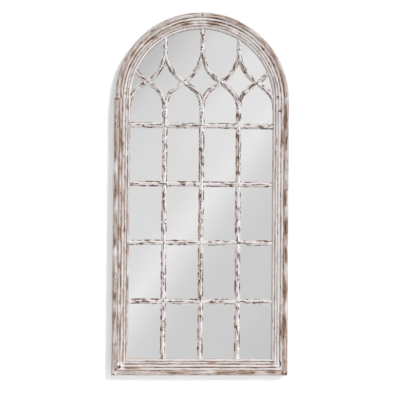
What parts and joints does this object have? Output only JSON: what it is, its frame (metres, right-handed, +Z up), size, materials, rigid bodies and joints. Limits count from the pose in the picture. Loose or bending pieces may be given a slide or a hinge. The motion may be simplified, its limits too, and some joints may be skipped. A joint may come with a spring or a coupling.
{
  "type": "arched window mirror",
  "caption": "Tall round-headed wall mirror framed and divided like a window, with reeded whitewashed wood, glazing bars and interlaced ogee tracery.",
  "frame": {"origin": "centre of the lowest edge: the middle of the overall box in X and Y, at the foot of the frame", "axes": "+Z up along the height, -Y towards the person looking into the mirror, +X to that person's right"},
  "size_m": [0.914, 0.046, 1.894],
  "materials": {
    "painted_wood": "distressed whitewash over brown-stained wood, matt, worn through along the crests and edges",
    "mirror": "clear silvered float glass",
    "back_board": "plain brown fibreboard",
    "zinc_steel": "zinc plated, satin",
    "dowel_wood": "plain beech",
    "rubber": "matt black rubber"
  },
  "bodies": {
    "mirror": {"arch_left": "painted_wood", "arch_right": "painted_wood", "jamb_left": "painted_wood", "jamb_right": "painted_wood", "bottom_rail": "painted_wood", "mullion_left": "painted_wood", "mullion_centre": "painted_wood", "mullion_right": "painted_wood", "finial_left": "painted_wood", "finial_centre": "painted_wood", "finial_right": "painted_wood", "glazing_bar_1": "painted_wood", "glazing_bar_2": "painted_wood", "glazing_bar_3": "painted_wood", "glazing_bar_4": "painted_wood", "ogee_1_rising": "painted_wood", "ogee_1_falling": "painted_wood", "ogee_2_rising": "painted_wood", "ogee_2_falling": "painted_wood", "ogee_3_rising": "painted_wood", "ogee_3_falling": "painted_wood", "ogee_4_rising": "painted_wood", "ogee_4_falling": "painted_wood", "crown_dowel_outer": "dowel_wood", "crown_dowel_inner": "dowel_wood", "shoulder_dowel_left_outer": "dowel_wood", "shoulder_dowel_left_inner": "dowel_wood", "shoulder_dowel_right_outer": "dowel_wood", "shoulder_dowel_right_inner": "dowel_wood", "corner_dowel_left_outer": "dowel_wood", "corner_dowel_left_inner": "dowel_wood", "corner_dowel_right_outer": "dowel_wood", "corner_dowel_right_inner": "dowel_wood", "panel_screw_1": "zinc_steel", "panel_screw_2": "zinc_steel", "panel_screw_3": "zinc_steel", "panel_screw_4": "zinc_steel", "panel_screw_5": "zinc_steel", "panel_screw_6": "zinc_steel", "panel_screw_7": "zinc_steel", "panel_screw_8": "zinc_steel", "panel_screw_9": "zinc_steel", "panel_screw_10": "zinc_steel", "panel_screw_11": "zinc_steel", "panel_screw_12": "zinc_steel", "panel_screw_13": "zinc_steel", "panel_screw_14": "zinc_steel", "hanger_screw_1": "zinc_steel", "hanger_screw_2": "zinc_steel", "hanger_screw_3": "zinc_steel", "hanger_screw_4": "zinc_steel", "hanger_strap_left": "zinc_steel", "hanger_strap_right": "zinc_steel", "bumper_left": "rubber", "bumper_right": "rubber", "mirror_glass": "mirror", "back_panel": "back_board"},
    "ring_left": {"hanger_ring_left": "zinc_steel"},
    "ring_right": {"hanger_ring_right": "zinc_steel"}
  },
  "joints": [
    {"name": "ring_left_swing", "type": "hinge", "parent": "mirror", "child": "ring_left", "pos_m": [-0.428, 0.0185, 1.31], "axis": [-1, 0, 0], "range_deg": [0, 170]},
    {"name": "ring_right_swing", "type": "hinge", "parent": "mirror", "child": "ring_right", "pos_m": [0.428, 0.0185, 1.31], "axis": [-1, 0, 0], "range_deg": [0, 170]}
  ]
}
